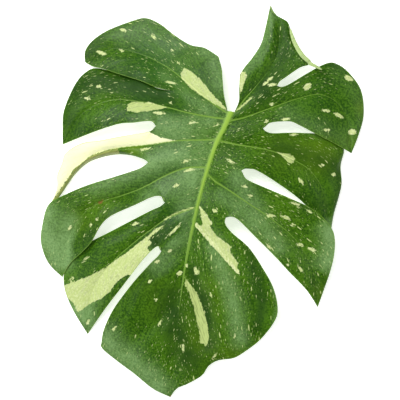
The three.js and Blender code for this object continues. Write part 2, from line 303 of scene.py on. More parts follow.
def add_places(lobe, xyz, on_map, rib, margin, depth):
    """Adds a grid of the sheet's places and returns their numbers."""
    grid = 0 * xyz[2]
    start = len(blade["points"])
    for key, parts in (("points", xyz), ("uv", on_map)):
        blade[key].extend(np.column_stack([(part + grid).ravel() for part in parts]).tolist())
    for key, numbers in (("rib", rib), ("margin", margin), ("depth", depth), ("lobe", lobe)):
        blade[key].extend((numbers + grid).ravel().tolist())
    return start + np.arange(grid.size).reshape(grid.shape)


def add_quads(number, turned):
    quads = np.stack([number[:-1, :-1], number[1:, :-1], number[1:, 1:], number[:-1, 1:]], axis=-1)
    quads = quads.reshape(-1, 4)
    blade["faces"].extend((quads[:, ::-1] if turned else quads).tolist())


def add_half(name, side, face, vein_rows, margin_rows, first_row, lift, droop, columns, lean,
             vein_depth):
    """Adds one half of a lobe. face is 1 on the vein's stalk side and -1 on its tip side."""
    across = across_steps(columns)[None, :]
    xy = vein_rows[:, None] * (1 - across[..., None]) + margin_rows[:, None] * across[..., None]
    xy[0] = first_row
    x, y = xy[..., 0], xy[..., 1]
    arch = JOINED_ARCH + ARCH_GAINED * np.minimum(2 * free, 1)
    pillow = PILLOW * np.sin(np.pi / 2 * joined) * (1 - free**3) * np.sin(np.pi * across * arch)
    width = np.linalg.norm(margin_rows - vein_rows, axis=1)[:, None]
    beside = width * across
    run = run_along(vein_rows)[:, None]
    grain = run - lean(run) * beside
    ripple = swell(FINE_RIPPLE, grain) + swell(BROAD_RIPPLE, grain, 1.3) * np.sin(np.pi * across)
    ripple = ripple * np.minimum(beside / RIPPLE_RISE, 1) * joined * (1 - free**4)
    wave = (swell(MARGIN_WAVE, run, 2.1 * len(blade["lobe"])) * across**3
            * np.sin(np.pi * free) * np.minimum(width / WAVE_RISE, 1))

    # The side vein: its furrow above, its pale line and its keel below.
    furrow = FURROW[0] * bell(beside, FURROW[1]) * np.minimum(run / RIPPLE_RISE, 1) * (1 - free**2)
    fade = FAINT_VEIN_FADE if name == "right_1" else VEIN_FADE
    rib = beside - VEIN_HALF_WIDTH * (1 - fade * run / run[-1])
    keel = vein_depth * (1 - run / run[-1])**0.8 * bell(beside, KEEL_HALF_WIDTH)
    if name in END_HALVES:
        off_vein = np.min([line_distance(x, y, vein) for vein in END_HALVES[name]["veins"]], axis=0)
        furrow = (END_FOLD[0] * bell(off_vein, END_FOLD[1]) * np.minimum(beside / FOLD_RISE, 1)
                  * (1 - 0.6 * across**2))
        rib = np.minimum(beside + midrib_fade(vein_rows[:, 1:]),
                         off_vein - END_VEIN_HALF_WIDTH + beside / END_VEIN_REACH)
        keel = (END_VEIN_DEPTH * bell(off_vein, KEEL_HALF_WIDTH)
                * np.maximum(1 - beside / END_VEIN_REACH, 0))
    depth = BLADE_THICKNESS + keel

    # Where two lobes are joined, both are held to the same height.
    held = across**4 * (1 - np.minimum(6 * free, 1))
    raised = lift * across**2 * np.sin(np.pi * free**LIFT_CURVE)
    z = (dome(x, y) + pillow + raised - droop * free**DROOP_CURVE
         + (ripple - furrow) * (1 - held) + wave)
    margin = np.where(free > 0, width - beside, FAR) + 0 * across
    if face == 1 and name in ("left_1", "right_1"):
        margin = width - beside
    slant = np.hypot(1, lean(run))
    lobe = lobe_names.index(name)
    number = add_places(lobe, (x, y, z), (grain / slant + MAP_GAP * lobe, face * beside * slant),
                        rib, margin, depth)
    add_quads(number, side * face < 0)
    halves[name, face] = dict(points=np.stack([x, y, z], axis=-1), grain=grain, depth=depth + 0 * z)


def rows_from(cleft_at):
    """The shares of a vein's length at which the rows cross it."""
    return np.concatenate([cleft_at * rows_in, cleft_at + (1 - cleft_at) * rows_out])


def straight_join(side, join):
    start = midrib_side(side, [join[0]])[0]
    return np.array([start, join[1]])


def edge_rows(join_line, free_points, lobe_tip):
    free_line = spline([tuple(join_line[-1]), *free_points, lobe_tip])
    return np.vstack([along(join_line, rows_in), along(free_line, rows_out)])


def first_places(side, from_y, to_y, columns):
    ys = from_y + (to_y - from_y) * across_steps(columns)
    side_stations[side].extend(ys.tolist())
    return midrib_side(side, ys)


for side in (LEFT, RIGHT):
    names = [name for name, lobe in LOBES.items() if lobe["side"] == side]
    for i, name in enumerate(names):
        lobe = LOBES[name]
        root = tuple(midrib_side(side, [lobe["root_y"]])[0])
        vein_line = spline([root, *lobe["vein"]])
        vein_rows = along(vein_line, rows_from(lobe["cleft_at"]))
        if i == 0:
            before = spline([tuple(midrib_side(side, [0])[0]), *NOTCH[side]])
            before_y = 0
        else:
            before = straight_join(side, JOINS[side][i - 1])
            before_y = JOINS[side][i - 1][0]
        after = straight_join(side, JOINS[side][i])
        sides = ((1, before, before_y, lobe["stalk_side"]),
                 (-1, after, JOINS[side][i][0], lobe["tip_side"]))
        for (face, join_line, join_y, free_points), lift in zip(sides, lobe["lift"]):
            add_half(name, side, face, vein_rows,
                     edge_rows(join_line, free_points, lobe["vein"][-1]),
                     first_places(side, lobe["root_y"], join_y, LOBE_COLUMNS), lift, lobe["droop"],
                     LOBE_COLUMNS, lambda run: FINE_VEIN_LEAN + 0 * run, VEIN_DEPTH)

for name, half in END_HALVES.items():
    side = half["side"]
    join = JOINS[side][-1]
    ys = join[0] + (TIP_Y - join[0]) * rows_from(half["cleft_at"])
    side_stations[side].extend(ys.tolist())
    vein_rows = midrib_side(side, ys)
    vein_rows[-1] = (midrib_x(TIP_Y), TIP_Y)
    first = np.repeat(vein_rows[:1], END_COLUMNS + 1, axis=0)
    add_half(name, side, 1, vein_rows,
             edge_rows(straight_join(side, join), half["margin"], (float(midrib_x(TIP_Y)), TIP_Y)),
             first, half["lift"], half["droop"], END_COLUMNS, end_lobe_lean, 0.0)


def add_midrib_strip():
    """The midrib's own strip of the upper face, between the lobes of the two sides."""
    def line(share, ys):
        places = np.column_stack([midrib_x(ys) + share * midrib_half_width(ys), ys])
        places[np.abs(ys - TIP_Y) < 1e-3, 0] = midrib_x(TIP_Y)
        crown = MIDRIB_CROWN * midrib_taper(ys) * (1 - share**2)
        z = dome(places[:, 0], places[:, 1]) + crown
        round_keel = math.sqrt(max(1 - share**2, 0))
        keel = (MIDRIB_DEPTH * midrib_taper(ys) + MIDRIB_DEPTH_AT_TIP) * round_keel
        half_width = midrib_half_width(ys)
        rib = midrib_fade(ys) - half_width * (1 - abs(share))
        return add_places(-1, (*places.T, z), (ys - MAP_GAP, share * half_width), rib, FAR,
                          BLADE_THICKNESS + keel).tolist()

    def side_line(side):
        ys = np.unique(np.round(side_stations[side], 6))[::-1]
        return ys, line(side, ys)

    own_ys = np.linspace(0, TIP_Y, MIDRIB_ROWS)
    shares = np.linspace(-1, 1, 2 * RIB_COLUMNS + 1)[1:-1]
    inner_lines = [(own_ys, line(share, own_ys)) for share in shares]
    lines = [side_line(LEFT), *inner_lines, side_line(RIGHT)]
    for (left_ys, left), (right_ys, right) in zip(lines, lines[1:]):
        i = j = 0
        while i < len(left) - 1 or j < len(right) - 1:
            if j == len(right) - 1 or (i < len(left) - 1 and left_ys[i + 1] >= right_ys[j + 1]):
                blade["faces"].append([left[i], left[i + 1], right[j]])
                i += 1
            else:
                blade["faces"].append([left[i], right[j + 1], right[j]])
                j += 1


add_midrib_strip()

# The first right-hand lobe's outer margin is rolled up and over, and its end hangs past the lobe.
ROLL_RADIUS = 1.9
ROLL_TURN = math.radians(225)
ROLL_TOP_Y = 84
ROLL_END = (72, 53.5)
ROLL_END_LIFT = 1.0
ROLL_COLUMNS = 10
ROLL_END_ROWS = 12


def add_rolled_margin():
    margin = halves["right_1", -1]["points"][:, -1]
    corner = int(np.argmax(margin[:, 0]))
    top = corner + int(np.argmax(margin[corner:, 1] > ROLL_TOP_Y))
    tail_end = np.array([*ROLL_END, margin[corner, 2] + ROLL_END_LIFT])
    tail = [tail_end + (margin[corner] - tail_end) * share
            for share in np.linspace(0, 1, ROLL_END_ROWS + 1)[:-1]]
    path = np.vstack([tail, margin[corner:top + 1]])
    heading = np.gradient(path[:, :2], axis=0)
    heading /= np.linalg.norm(heading, axis=1)[:, None]
    outward = np.column_stack([heading[:, 1], -heading[:, 0]])
    run = run_along(path[:, :2])
    radius = (ROLL_RADIUS * np.sin(np.pi * run / run[-1])**0.6)[:, None]
    turn = np.linspace(0, ROLL_TURN, ROLL_COLUMNS + 1)[None, :]
    x, y = (path[:, k, None] + outward[:, k, None] * (radius * np.sin(turn)) for k in (0, 1))
    z = path[:, 2:] + radius * (1 - np.cos(turn))
    number = add_places(lobe_names.index("rolled_margin"), (x, y, z), (run[:, None], radius * turn),
                        FAR, FAR, BLADE_THICKNESS)
    add_quads(number, True)


add_rolled_margin()

# Into the frame: the drawing's outline is centred on the node's box, and its lowest point rests.
drawn = np.array(blade["points"])
middle = (np.array(leaf_low) + np.array(leaf_high)) / 2
centre = (drawn.min(0) + drawn.max(0)) / 2
lowest = (drawn[:, 2] - np.array(blade["depth"])).min()
place = np.array([middle[0] - centre[0] * MM, middle[1] - centre[1] * MM, leaf_low[2] - lowest * MM])


def put_field(mesh, key, numbers):
    """Stores one number for each of a mesh's points."""
    field = mesh.attributes.new(key, "FLOAT", "POINT")
    field.data.foreach_set("value", np.array(numbers, dtype=np.float32))


sheet = bpy.data.meshes.new("leaf_blade")
sheet.from_pydata((drawn * MM + place).tolist(), [], blade["faces"])
for key in ("rib", "margin", "depth"):
    put_field(sheet, key, blade[key])
corner_points = np.empty(len(sheet.loops), dtype=np.int32)
sheet.loops.foreach_get("vertex_index", corner_points)
grain_map = sheet.uv_layers.new(name="grain")
grain_map.data.foreach_set("uv", np.array(blade["uv"], dtype=np.float32)[corner_points].ravel())

# Where the leaf grew without green: a tone of 1 is ivory, 0 a pale green and -1 a dull olive,
# a cream and green mix darkened with painted shade where a lobe folds steeply down.
PATCHES = [
    (("left_1",), 0.2, [
        (-49, 30), (-42, 27.5), (-33.5, 23), (-23.5, 15), (-14.5, 8.5), (-6.5, 3), (-2, -1), (-10, 1.5),
        (-24.5, 6.5), (-38.5, 12.5), (-50.5, 20.5), (-50, 22), (-51.5, 23.5), (-50.5, 26)]),
    (("left_2",), 0.1, [
        (-92, -17.5), (-91.5, -12.5), (-87.5, -9.5), (-82, -8.5), (-75, -8.5), (-68.5, -7.5), (-59, -8),
        (-55.5, -8.5), (-61, -10.5), (-67, -13), (-73.5, -15.5), (-79, -16.5), (-81, -18.5),
        (-86.5, -18.5), (-91, -18.5)]),
    (("left_3",), 1.0, [
        (-41, -35.6), (-53, -36), (-60, -35.4), (-66, -33.6), (-71, -30), (-80, -25), (-124, -40),
        (-152, -60), (-152, -117), (-142, -115), (-134, -96), (-127, -79), (-114, -64), (-100, -56),
        (-84, -50), (-62, -43), (-46, -37)]),
    # The third left lobe's steep lower half: olive, a cream and green mix with painted shade.
    (("left_3",), -1.0, [(-92, -53), (-100, -56.5), (-114, -64.5), (-127, -79.5), (-134, -96.5),
                         (-142, -115), (-130, -110), (-100, -72), (-88, -62)]),
    (("left_5",), 0.25, [
        (-36, -110), (-43, -116), (-50, -125), (-57, -133), (-65, -143), (-73, -151), (-80, -159),
        (-88, -166), (-96, -172), (-105, -178), (-117, -185), (-112, -193), (-102, -199), (-98, -206),
        (-91, -198), (-87, -194), (-79, -188), (-73, -181), (-70, -173), (-65, -166), (-60, -162),
        (-52, -161), (-43, -138), (-48, -135), (-44, -129), (-48, -128), (-46, -123), (-40, -116)]),
    (("left_5",), -0.1, [
        (-40, -107.5), (-33, -101), (-25, -95.5), (-15, -90.5), (-14.5, -91.5), (-24, -96.5),
        (-32, -102), (-38, -108)]),
    (("end_right", "right_4"), 0.25, [
        (-11, -88), (-5, -92), (0, -97), (5, -102), (3, -105), (10, -111), (18, -115), (25, -118),
        (25, -123), (30, -128), (35, -131), (33, -134), (37, -138), (21, -127), (7, -116), (-4, -109),
        (-11, -106), (-5, -106), (-4, -102), (-6, -99)]),
    (("end_right",), 0.4, [
        (-10.5, -103.5), (-6, -105.5), (7, -116), (21, -126), (33, -134.5), (39, -141), (36.5, -141.5),
        (20, -129.5), (6, -119.5), (-7.5, -109), (-12.5, -106)]),
    (("end_right",), -0.25, [
        (-9.5, -154.5), (-4.5, -158), (3, -164.5), (10, -174.5), (15.5, -183.5), (20, -194),
        (22.5, -201.5), (23, -208.5), (21.5, -211.5), (19.5, -209), (16, -209.5), (15, -206.5),
        (13.5, -200), (9.5, -191.5), (6, -183), (2, -175), (-2.5, -166.5), (-8.5, -160)]),
    (("rolled_margin",), 0.1, [(30, 40), (90, 40), (90, 100), (30, 100)]),
    (("right_3",), 0.1, [
        (46, -27), (51, -27), (57.5, -26.5), (63.5, -27.5), (65, -30.5), (64, -34), (60.5, -35),
        (56.5, -32), (51, -28.5)]),
    (("right_1",), 0.3, [
        (1.5, 37), (5.5, 37.5), (7, 34.5), (6.5, 27.5), (6, 20.5), (4.5, 17), (3, 23), (1.5, 31)]),
    (("right_1",), 0.1, [
        (16, 17), (15.5, 14.5), (12, 9.5), (7.5, 4), (4.5, 1.5), (8, 8), (12.5, 13.5)]),
]
# Single flecks: lobe, x, y, half length, half width and heading in degrees.
LOBE_FLECKS = [
    ("left_1", -110, 52, 3, 1.5, -20), ("left_1", -82, 52, 3.6, 1.2, -45),
    ("left_1", -125, 28, 4.6, 1.6, -12), ("left_1", -58, 14, 5, 1.2, 4),
    ("left_2", -63, -15, 5.5, 1.4, 8), ("left_2", -54, -4, 1.6, 1.2, 0),
    ("left_5", -27.5, -114, 8.5, 1.1, 56), ("left_2", -9.5, -14.5, 2.4, 1, 30),
    ("right_3", 2, -16, 3.4, 1.1, -8), ("right_1", 23.5, 17.5, 2.8, 1, 45),
    ("right_1", 35, 27, 5, 1.1, 60), ("right_1", 25, 31, 2.8, 1.2, 48), ("right_1", 28, 36, 3, 1.3, 35),
    ("right_1", 31, 31, 4, 1.5, 20), ("right_2", 62.5, 36, 4, 2.4, 50),
    ("right_2", 98, 52, 4.2, 2.2, -12), ("right_2", 111, 5, 4, 2.6, 10),
    ("right_2", 95.5, 17, 5, 1.4, -14), ("right_2", 83, 18.5, 4, 1.3, 6),
    ("right_2", 87.5, 1.5, 3.4, 1.3, 10), ("end_left", -62, -212, 3, 1.4, 60),
]
# Flecks that mark whichever lobe they fall on.
FLECKS = [
    (-109, -176, 2.2, 1.4, 32), (-101, -157, 4, 1.2, 52), (-120, -132, 2.7, 1.2, 57),
    (-102, -125, 2, 1.2, 72), (-97, -119, 1.8, 1.2, 72), (-63, -116, 3.6, 1.6, 27),
    (-37, -145, 2.7, 1.6, 22), (-27, -133, 2.2, 1.2, 22), (-40, -164, 3.1, 1.2, 57),
    (-15, -151, 3.1, 1.8, 32), (-10, -143, 2, 1.2, -48), (-1, -146, 3.6, 1.8, -53),
    (-31, -179, 1.8, 1.5, 12), (-23, -199, 3.6, 1.2, 72), (2, -216, 3.6, 1.2, -73),
    (31, -218, 4, 1.2, 72), (-87, -212, 2.7, 1.2, 82), (45, -196, 2.5, 1.2, 87),
    (16, -164, 2.2, 1.2, -48), (4, -90, 2.2, 1.4, -28), (54, -84, 4, 1.6, 7), (68, -83, 3.6, 1.5, -13),
    (75, -88, 2.2, 1.2, 12), (87, -73, 2.7, 1.2, -23), (73, -69, 4.5, 1.2, -3), (85, -104, 3.1, 1.4, 2),
    (97, -106, 4, 1.6, -8), (90, -125, 4, 1.2, -43), (57, -111, 3.1, 1.2, -33),
    (78, -124, 1.8, 1.2, 12), (34, 14, 2.2, 1.4, 12), (49, 3, 3.6, 1.3, 17), (33, -2, 2, 1.2, 32),
    (60, -8, 4.5, 1.2, 12), (9, -44, 3.6, 1.4, -18), (26, -63, 2.7, 1.2, 2), (74, -48, 3.1, 1.5, -43),
    (90, -30, 1.8, 1.2, 12), (102, -36, 2.2, 1.8, 22), (33, -70, 2.7, 1.2, 2),
    (-108, 34, 2.2, 1.2, -18), (-121, -2, 2.2, 1.6, 12), (-129, -15, 2.7, 1.2, -3),
    (-32, -17, 3.6, 1.2, 27), (-68, -49, 5, 1.2, 20), (-30, -52, 4, 1.4, 27), (-25, -59, 5, 1.2, 24),
    (-34, -75, 3.1, 1.4, 32), (-55, 33, 1.8, 1.4, -48), (-63, 43, 1.8, 1.2, -38),
    (-73, -8, 3.1, 1.2, 2),
]

# Spots of ground that are yellower (above 0) than the rest, and bluer spots of painted sheen (below 0):
# radius, amount, place.
TINTS_AND_SHEENS = [
    (20, 0.6, [(88, -20)]), (28, 0.4, [(55, -22)]), (26, 0.2, [(62, -88)]), (18, 0.35, [(-116, -126)]),
    (20, 0.3, [(-92, -106)]), (13, 1.0, [(-76, -48)]), (30, 0.45, [(12, -212)]),
    (24, 0.3, [(-30, -172)]), (22, 0.35, [(20, -160)]), (34, -0.5, [(-72, 36)]),
    (34, -0.45, [(-58, -12)]), (22, -0.35, [(-46, -50)]), (26, -0.3, [(70, 26)]),
    (22, -0.4, [(-30, -105)]), (24, -0.35, [(-24, -240)]), (11, 0.6, [(116, -141)]),
    (12, 0.5, [(51, -216)]), (8, 0.4, [(70, -197)]), (11, 0.4, [(-138, -152)]), (9, 0.6, [(116, 28)]),
    (8, 0.4, [(112, -2)]),
]
# Streaks of painted sheen, a paler colour (above 0), and of painted shade, a deeper green (below 0),
# along
# the folds beside the veins: half width, amount, and the line each one follows.
SHEEN_AND_SHADE_STREAKS = [
    (8, 0.75, [(9, -120), (21, -139), (32, -157), (42, -178), (50, -197)]),
    (5, 0.6, [(71, -144), (80, -159), (80, -176)]),
    (11, 0.9, [(-69, -220), (-55, -231), (-37, -242), (-22, -248), (-11, -256)]),
    (10, 0.7, [(-30, -130), (-36, -146)]), (9, 0.65, [(17, -57), (33, -74), (48, -91), (65, -110)]),
    (11, 1.15, [(110, -87), (116, -102), (113, -114)]),
    (12, 1.1, [(-146, -123), (-140, -145), (-126, -159)]),
    (10, 0.45, [(-61, -63), (-77, -75), (-102, -90)]), (11, 0.9, [(-102, -194), (-91, -209)]),
    (10, 0.65, [(-34, 50), (-22, 41), (-13, 22)]), (13, 0.25, [(-112, 47), (-86, 53), (-56, 41)]),
    (12, 0.5, [(-70, -20), (-42, -21), (-17, -13)]), (8, 0.5, [(-64, 16), (-39, 5), (-17, -2)]),
    (10, 0.6, [(-18, -39), (-20, -67), (-22, -90), (-22, -118)]),
    (7, 0.7, [(18, 94), (16, 75), (11, 56), (3, 38)]),
    (10, 0.15, [(88, 57), (109, 39), (117, 17), (106, -3)]), (10, 0.25, [(47, 10), (63, 4), (82, 1)]),
    (11, -1, [(-140, -5), (-121, 2), (-94, 6), (-75, 2), (-58, 1)]),
    (10, -0.6, [(-135, 27), (-130, 37)]),
    (11, -0.6, [(-145, -24), (-138, -41)]), (9, -0.75, [(31, 82), (37, 65), (34, 46), (23, 25)]),
    (8, -0.6, [(55, 48), (39, 27), (20, 8)]), (10, -0.75, [(50, -24), (69, -25), (92, -27), (108, -35)]),
    (10, -0.55, [(82, -66), (100, -64), (111, -53)]), (9, -0.5, [(0, -40), (16, -10)]),
    (10, -0.6, [(-46, -127), (-42, -113)]), (7, -0.45, [(-75, -106), (-98, -127), (-112, -150)]),
    (13, -1.0, [(-17, -176), (-8, -202), (8, -226)]),
    (6, -0.9, [(-4, -146), (4, -168), (14, -188), (25, -209)]),
    (6, -0.85, [(40, -115), (52, -139), (62, -160), (63, -182)]), (9, -0.45, [(108, -130), (113, -146)]),
    (8, 0.9, [(-121, -127), (-120, -146), (-120, -163)]), (10, 0.6, [(-58, -35), (-38, -32)]),
    (8, 0.9, [(-63, -61), (-49, -54), (-35, -48)]), (10, 0.55, [(-55, -91), (-40, -77), (-24, -66)]),
    (7, 0.5, [(8, -75), (26, -86), (40, -98)]), (7, 0.5, [(-88, -188), (-92, -204)]),
    (7, -0.8, [(-40, -129), (-27, -112)]), (7, -0.7, [(12, -169), (19, -187)]),
]
# Small brown marks: x, y, radius.
BROWN_MARKS = [(-98, -104, 2.2), (-96, -102, 1.4), (0, -262.4, 1.6)]
FLECK_TONE = 0.3
# How far inside a patch the places that no patch reaches count as.
OUTSIDE = -30.0


def inside_by(points, outline):
    """How far each point is inside an outline, in millimetres; it is negative outside."""
    outline = np.asarray(outline, float)
    nearest = np.full(len(points), 1e9)
    inside = np.zeros(len(points), bool)
    for a, b in zip(outline, np.roll(outline, -1, axis=0)):
        edge = b - a
        share = np.clip(((points - a) @ edge) / (edge @ edge), 0, 1)
        nearest = np.minimum(nearest, np.linalg.norm(points - a - share[:, None] * edge, axis=1))
        if a[1] != b[1]:
            crosses = (a[1] > points[:, 1]) != (b[1] > points[:, 1])
            at_x = a[0] + (points[:, 1] - a[1]) / (b[1] - a[1]) * edge[0]
            inside ^= crosses & (points[:, 0] < at_x)
    return np.where(inside, nearest, -nearest)


lobe_of = np.array(blade["lobe"])
places = drawn[:, :2]
pale = np.full(len(drawn), OUTSIDE)
tone = np.zeros(len(drawn))
for lobes, patch_tone, outline in PATCHES:
    own = np.isin(lobe_of, [lobe_names.index(name) for name in lobes])
    by = np.where(own, inside_by(places, outline), OUTSIDE)
    tone = np.where(by > pale, patch_tone, tone)
    pale = np.maximum(pale, by)
for name, x, y, half_length, half_width, heading in LOBE_FLECKS + [("", *fleck) for fleck in FLECKS]:
    c, s = math.cos(math.radians(heading)), math.sin(math.radians(heading))
    offset = places - (x, y)
    reach = np.hypot((offset @ (c, s)) / half_length, (offset @ (-s, c)) / half_width)
    own = lobe_of == lobe_names.index(name) if name else lobe_of < lobe_names.index("rolled_margin")
    by = np.where(own, (1 - reach) * half_width, OUTSIDE)
    tone = np.where(by > pale, FLECK_TONE, tone)
    pale = np.maximum(pale, by)


def spread(marks):
    """The marks' amounts, each fading out over its radius or half width."""
    return sum(amount * bell(line_distance(places[:, 0], places[:, 1], points), reach)
               for reach, amount, points in marks)


brown = np.max([1 - np.hypot(places[:, 0] - x, places[:, 1] - y) / radius
                for x, y, radius in BROWN_MARKS], axis=0)
for key, numbers in (("pale", pale), ("tone", tone), ("tint_and_sheen", spread(TINTS_AND_SHEENS)),
                     ("sheen_and_shade", spread(SHEEN_AND_SHADE_STREAKS)), ("brown", brown)):
    put_field(sheet, key, numbers)

# The lobes' shared lines are joined, then the sheet gets its under face and its edge.
JOINED_WITHIN = 2e-6
joining = bmesh.new()
joining.from_mesh(sheet)
bmesh.ops.remove_doubles(joining, verts=joining.verts, dist=JOINED_WITHIN)
joining.to_mesh(sheet)
joining.free()

UPPER, UNDER = 0, 1
CREASE = math.radians(60)
SHADING_FIELDS = ("rib", "margin", "pale", "tone", "tint_and_sheen", "sheen_and_shade", "brown")
upper_faces = [tuple(face.vertices) for face in sheet.polygons]
count = len(sheet.vertices)
upper_points = np.array([vert.co for vert in sheet.vertices])
normals = np.array([vert.normal for vert in sheet.vertices])
fields = {}
for key in (*SHADING_FIELDS, "depth"):
    fields[key] = np.empty(count, dtype=np.float32)
    sheet.attributes[key].data.foreach_get("value", fields[key])
corner_uv = np.empty(2 * len(sheet.loops), dtype=np.float32)
sheet.uv_layers["grain"].data.foreach_get("uv", corner_uv)
face_ends = np.cumsum([len(face) for face in upper_faces])
face_uv = np.split(corner_uv.reshape(-1, 2), face_ends[:-1])
uv_of = {vert: uv for face, uvs in zip(upper_faces, face_uv) for vert, uv in zip(face, uvs)}
# The blade's thickness goes in square to it, and the keels of the ribs hang straight down.
under_points = upper_points - normals * (BLADE_THICKNESS * MM)
under_points[:, 2] -= (fields["depth"] - BLADE_THICKNESS) * MM
one_way = {(a, b) for face in upper_faces for a, b in zip(face, face[1:] + face[:1])}
open_edges = sorted((a, b) for a, b in one_way if (b, a) not in one_way)
faces = (upper_faces + [tuple(v + count for v in reversed(face)) for face in upper_faces]
         + [(a, a + count, b + count, b) for a, b in open_edges])
uvs = (face_uv + [uv[::-1] for uv in face_uv]
       + [np.array([uv_of[a], uv_of[a], uv_of[b], uv_of[b]]) for a, b in open_edges])

solid = bpy.data.meshes.new("leaf_blade")
solid.from_pydata(np.vstack([upper_points, under_points]).tolist(), [], faces)
solid.uv_layers.new(name="grain").data.foreach_set("uv", np.vstack(uvs).ravel())
for key in SHADING_FIELDS:
    put_field(solid, key, np.tile(fields[key], 2))
for number, polygon in enumerate(solid.polygons):
    polygon.material_index = UNDER if len(upper_faces) <= number < 2 * len(upper_faces) else UPPER
    polygon.use_smooth = True
solid.set_sharp_from_angle(angle=CREASE)
bpy.data.meshes.remove(sheet)
leaf_blade = bpy.data.objects.new("leaf_blade", solid)
bpy.context.collection.objects.link(leaf_blade)


class Wire:
    """A value inside a tree of nodes. Ordinary Python maths on it adds the tree's Math nodes."""

    def __init__(self, wiring, socket):
        self.wiring, self.socket = wiring, socket

    def beside(self, output):
        """Another output of the same node."""
        return Wire(self.wiring, self.socket.node.outputs[output])

    def maths(self, operation, a, b):
        return self.wiring.node("ShaderNodeMath", {0: a, 1: b}, operation=operation)


for name, operation in (("add", "ADD"), ("sub", "SUBTRACT"), ("mul", "MULTIPLY"), ("truediv", "DIVIDE")):
    setattr(Wire, f"__{name}__", lambda a, b, kind=operation: a.maths(kind, a, b))
    setattr(Wire, f"__r{name}__", lambda a, b, kind=operation: a.maths(kind, b, a))


class Wiring:
    """A material, the light all round or a geometry tree, being wired up."""

    def __init__(self, owner):
        self.owner = self.tree = owner
        if not isinstance(owner, bpy.types.NodeTree):
            owner.use_nodes = True
            self.tree = owner.node_tree
        self.tree.nodes.clear()

    def node(self, kind, sockets=(), output=0, **settings):
        """Adds a node: its settings first, then the values or wires of its sockets."""
        made = self.tree.nodes.new(kind)
        for key, value in settings.items():
            setattr(made, key, value)
        for key, value in dict(sockets).items():
            if isinstance(value, Wire):
                self.tree.links.new(value.socket, made.inputs[key])
            else:
                made.inputs[key].default_value = value
        return Wire(self, made.outputs[output]) if made.outputs else None

    def field(self, name):
        return self.node("ShaderNodeAttribute", output="Fac", attribute_name=name)

    def step(self, value, low, high):
        """0 below low and 1 above high, with a smooth change between them."""
        return self.node("ShaderNodeMapRange", {"Value": value, "From Min": low, "From Max": high},
                         interpolation_type="SMOOTHSTEP")

    def ramp(self, value, low, high):
        """0 below low and 1 above high, with an even change between them."""
        return self.node("ShaderNodeMapRange", {"Value": value, "From Min": low, "From Max": high})

    def mix(self, share, a, b):
        return self.node("ShaderNodeMix", {0: share, 6: a, 7: b}, output=2, data_type="RGBA")

    def noise(self, vector, scale, detail=2.0):
        return self.node("ShaderNodeTexNoise", {"Vector": vector, "Scale": scale, "Detail": detail})

    def vector(self, x, y, z):
        return self.node("ShaderNodeCombineXYZ", {0: x, 1: y, 2: z})

    def surface(self, sockets):
        """Ends the material in one plain surface."""
        made = self.node("ShaderNodeBsdfPrincipled", sockets)
        self.node("ShaderNodeOutputMaterial", {"Surface": made})


def srgb(red, green, blue):
    """A colour given as it looks on a screen, 0 to 255, as the shader's linear colour."""
    parts = [c / 255 for c in (red, green, blue)]
    return (*[c / 12.92 if c <= 0.04045 else ((c + 0.055) / 1.055)**2.4 for c in parts], 1.0)


BROWN = srgb(122, 84, 40)
GLOSS = 0.14
RELIEF = 0.0006
# How far apart flecks of one size lie across and along the fine veins (mm), the share of places that
# have one, its reach as a share of that spacing, and how pale it is.
FLECK_SIZES = ((5.5, 13.0, 0.22, 0.10, 0.80), (3.4, 6.5, 0.22, 0.11, 0.66),
               (2.1, 2.9, 0.27, 0.15, 0.42))
# Grains a metre of the noise behind the broad shading, the crowding of flecks, the breaks in the tints
# and their bluer painted sheen, the breaks in the folds' painted sheen and painted shade, the flecks'
# ragged edges, the mottle of the cells, and their relief.
BROAD, CROWDS, TINT_AND_SHEEN_BREAKS, SHEEN_BREAKS, RAGS, CELLS, CELL_RELIEF = 26, 22, 75, 110, 420, 620, 1400


